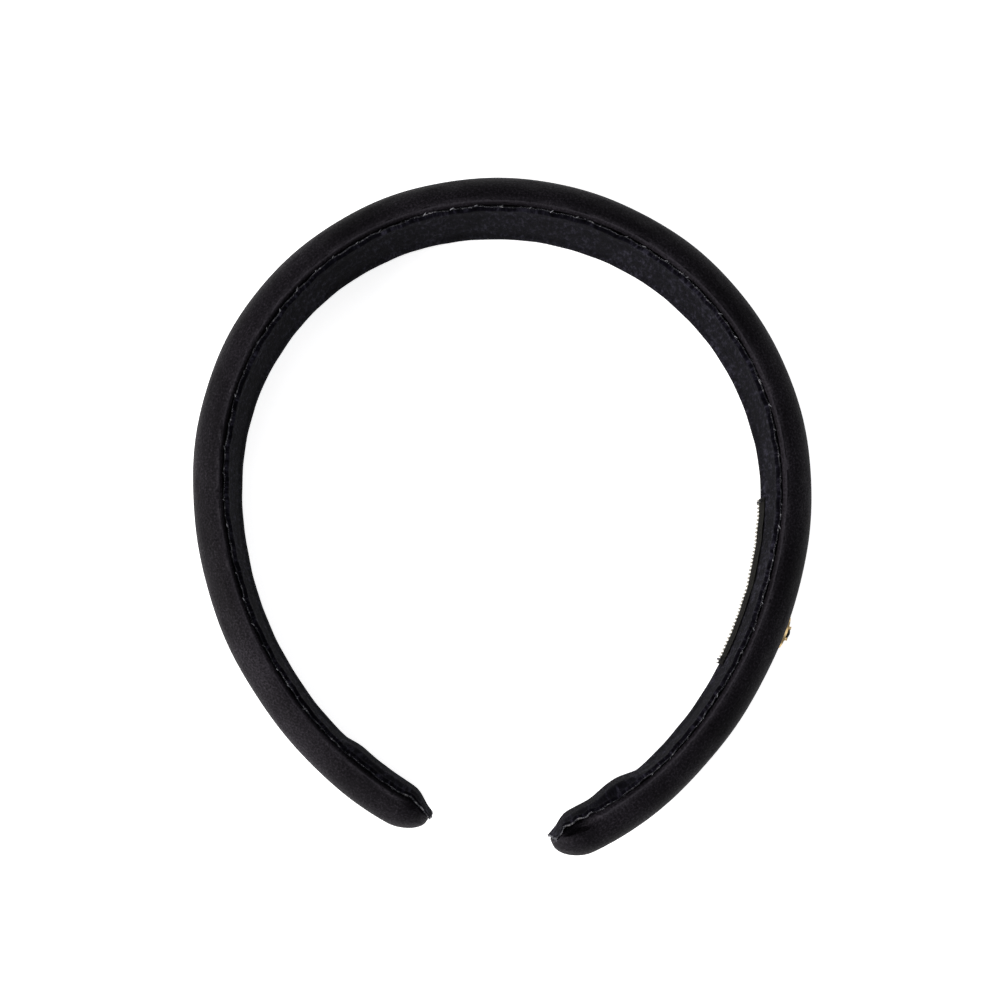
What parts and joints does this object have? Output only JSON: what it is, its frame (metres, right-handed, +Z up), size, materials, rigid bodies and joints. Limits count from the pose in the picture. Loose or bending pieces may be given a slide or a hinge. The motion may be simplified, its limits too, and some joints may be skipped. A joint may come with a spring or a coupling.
{
  "type": "headband",
  "caption": "Padded rigid headband: a moulded hoop with a sponge pad under black satin, a velvet lining, rounded tips, a small round badge and a woven label.",
  "frame": {"origin": "middle of the bounding box in plan, on the plane that the headband's lower edge rests on", "axes": "+Z up through the hoop, +Y towards the crown, so the tips point to -Y; +X is the arm with the badge and the label"},
  "size_m": [0.1482, 0.159, 0.033],
  "materials": {
    "core_plastic": "moulded, uncoloured",
    "sponge": "open-cell sponge",
    "black_satin": "matte satin weave",
    "black_velvet": "short velvet pile",
    "thread": "twisted sewing thread",
    "label_weave": "woven tape",
    "badge_metal": "polished gold plate",
    "badge_stone": "polished black",
    "washer_steel": "stamped, plain"
  },
  "bodies": {
    "root": {"core_band": "core_plastic", "foam_pad": "sponge", "satin_cover": "black_satin", "velvet_lining": "black_velvet", "upper_edge_stitches": "thread", "lower_edge_stitches": "thread", "woven_label": "label_weave", "label_stitches": "thread", "emblem_base": "badge_metal", "emblem_stone": "badge_stone", "emblem_washer": "washer_steel"}
  },
  "joints": []
}
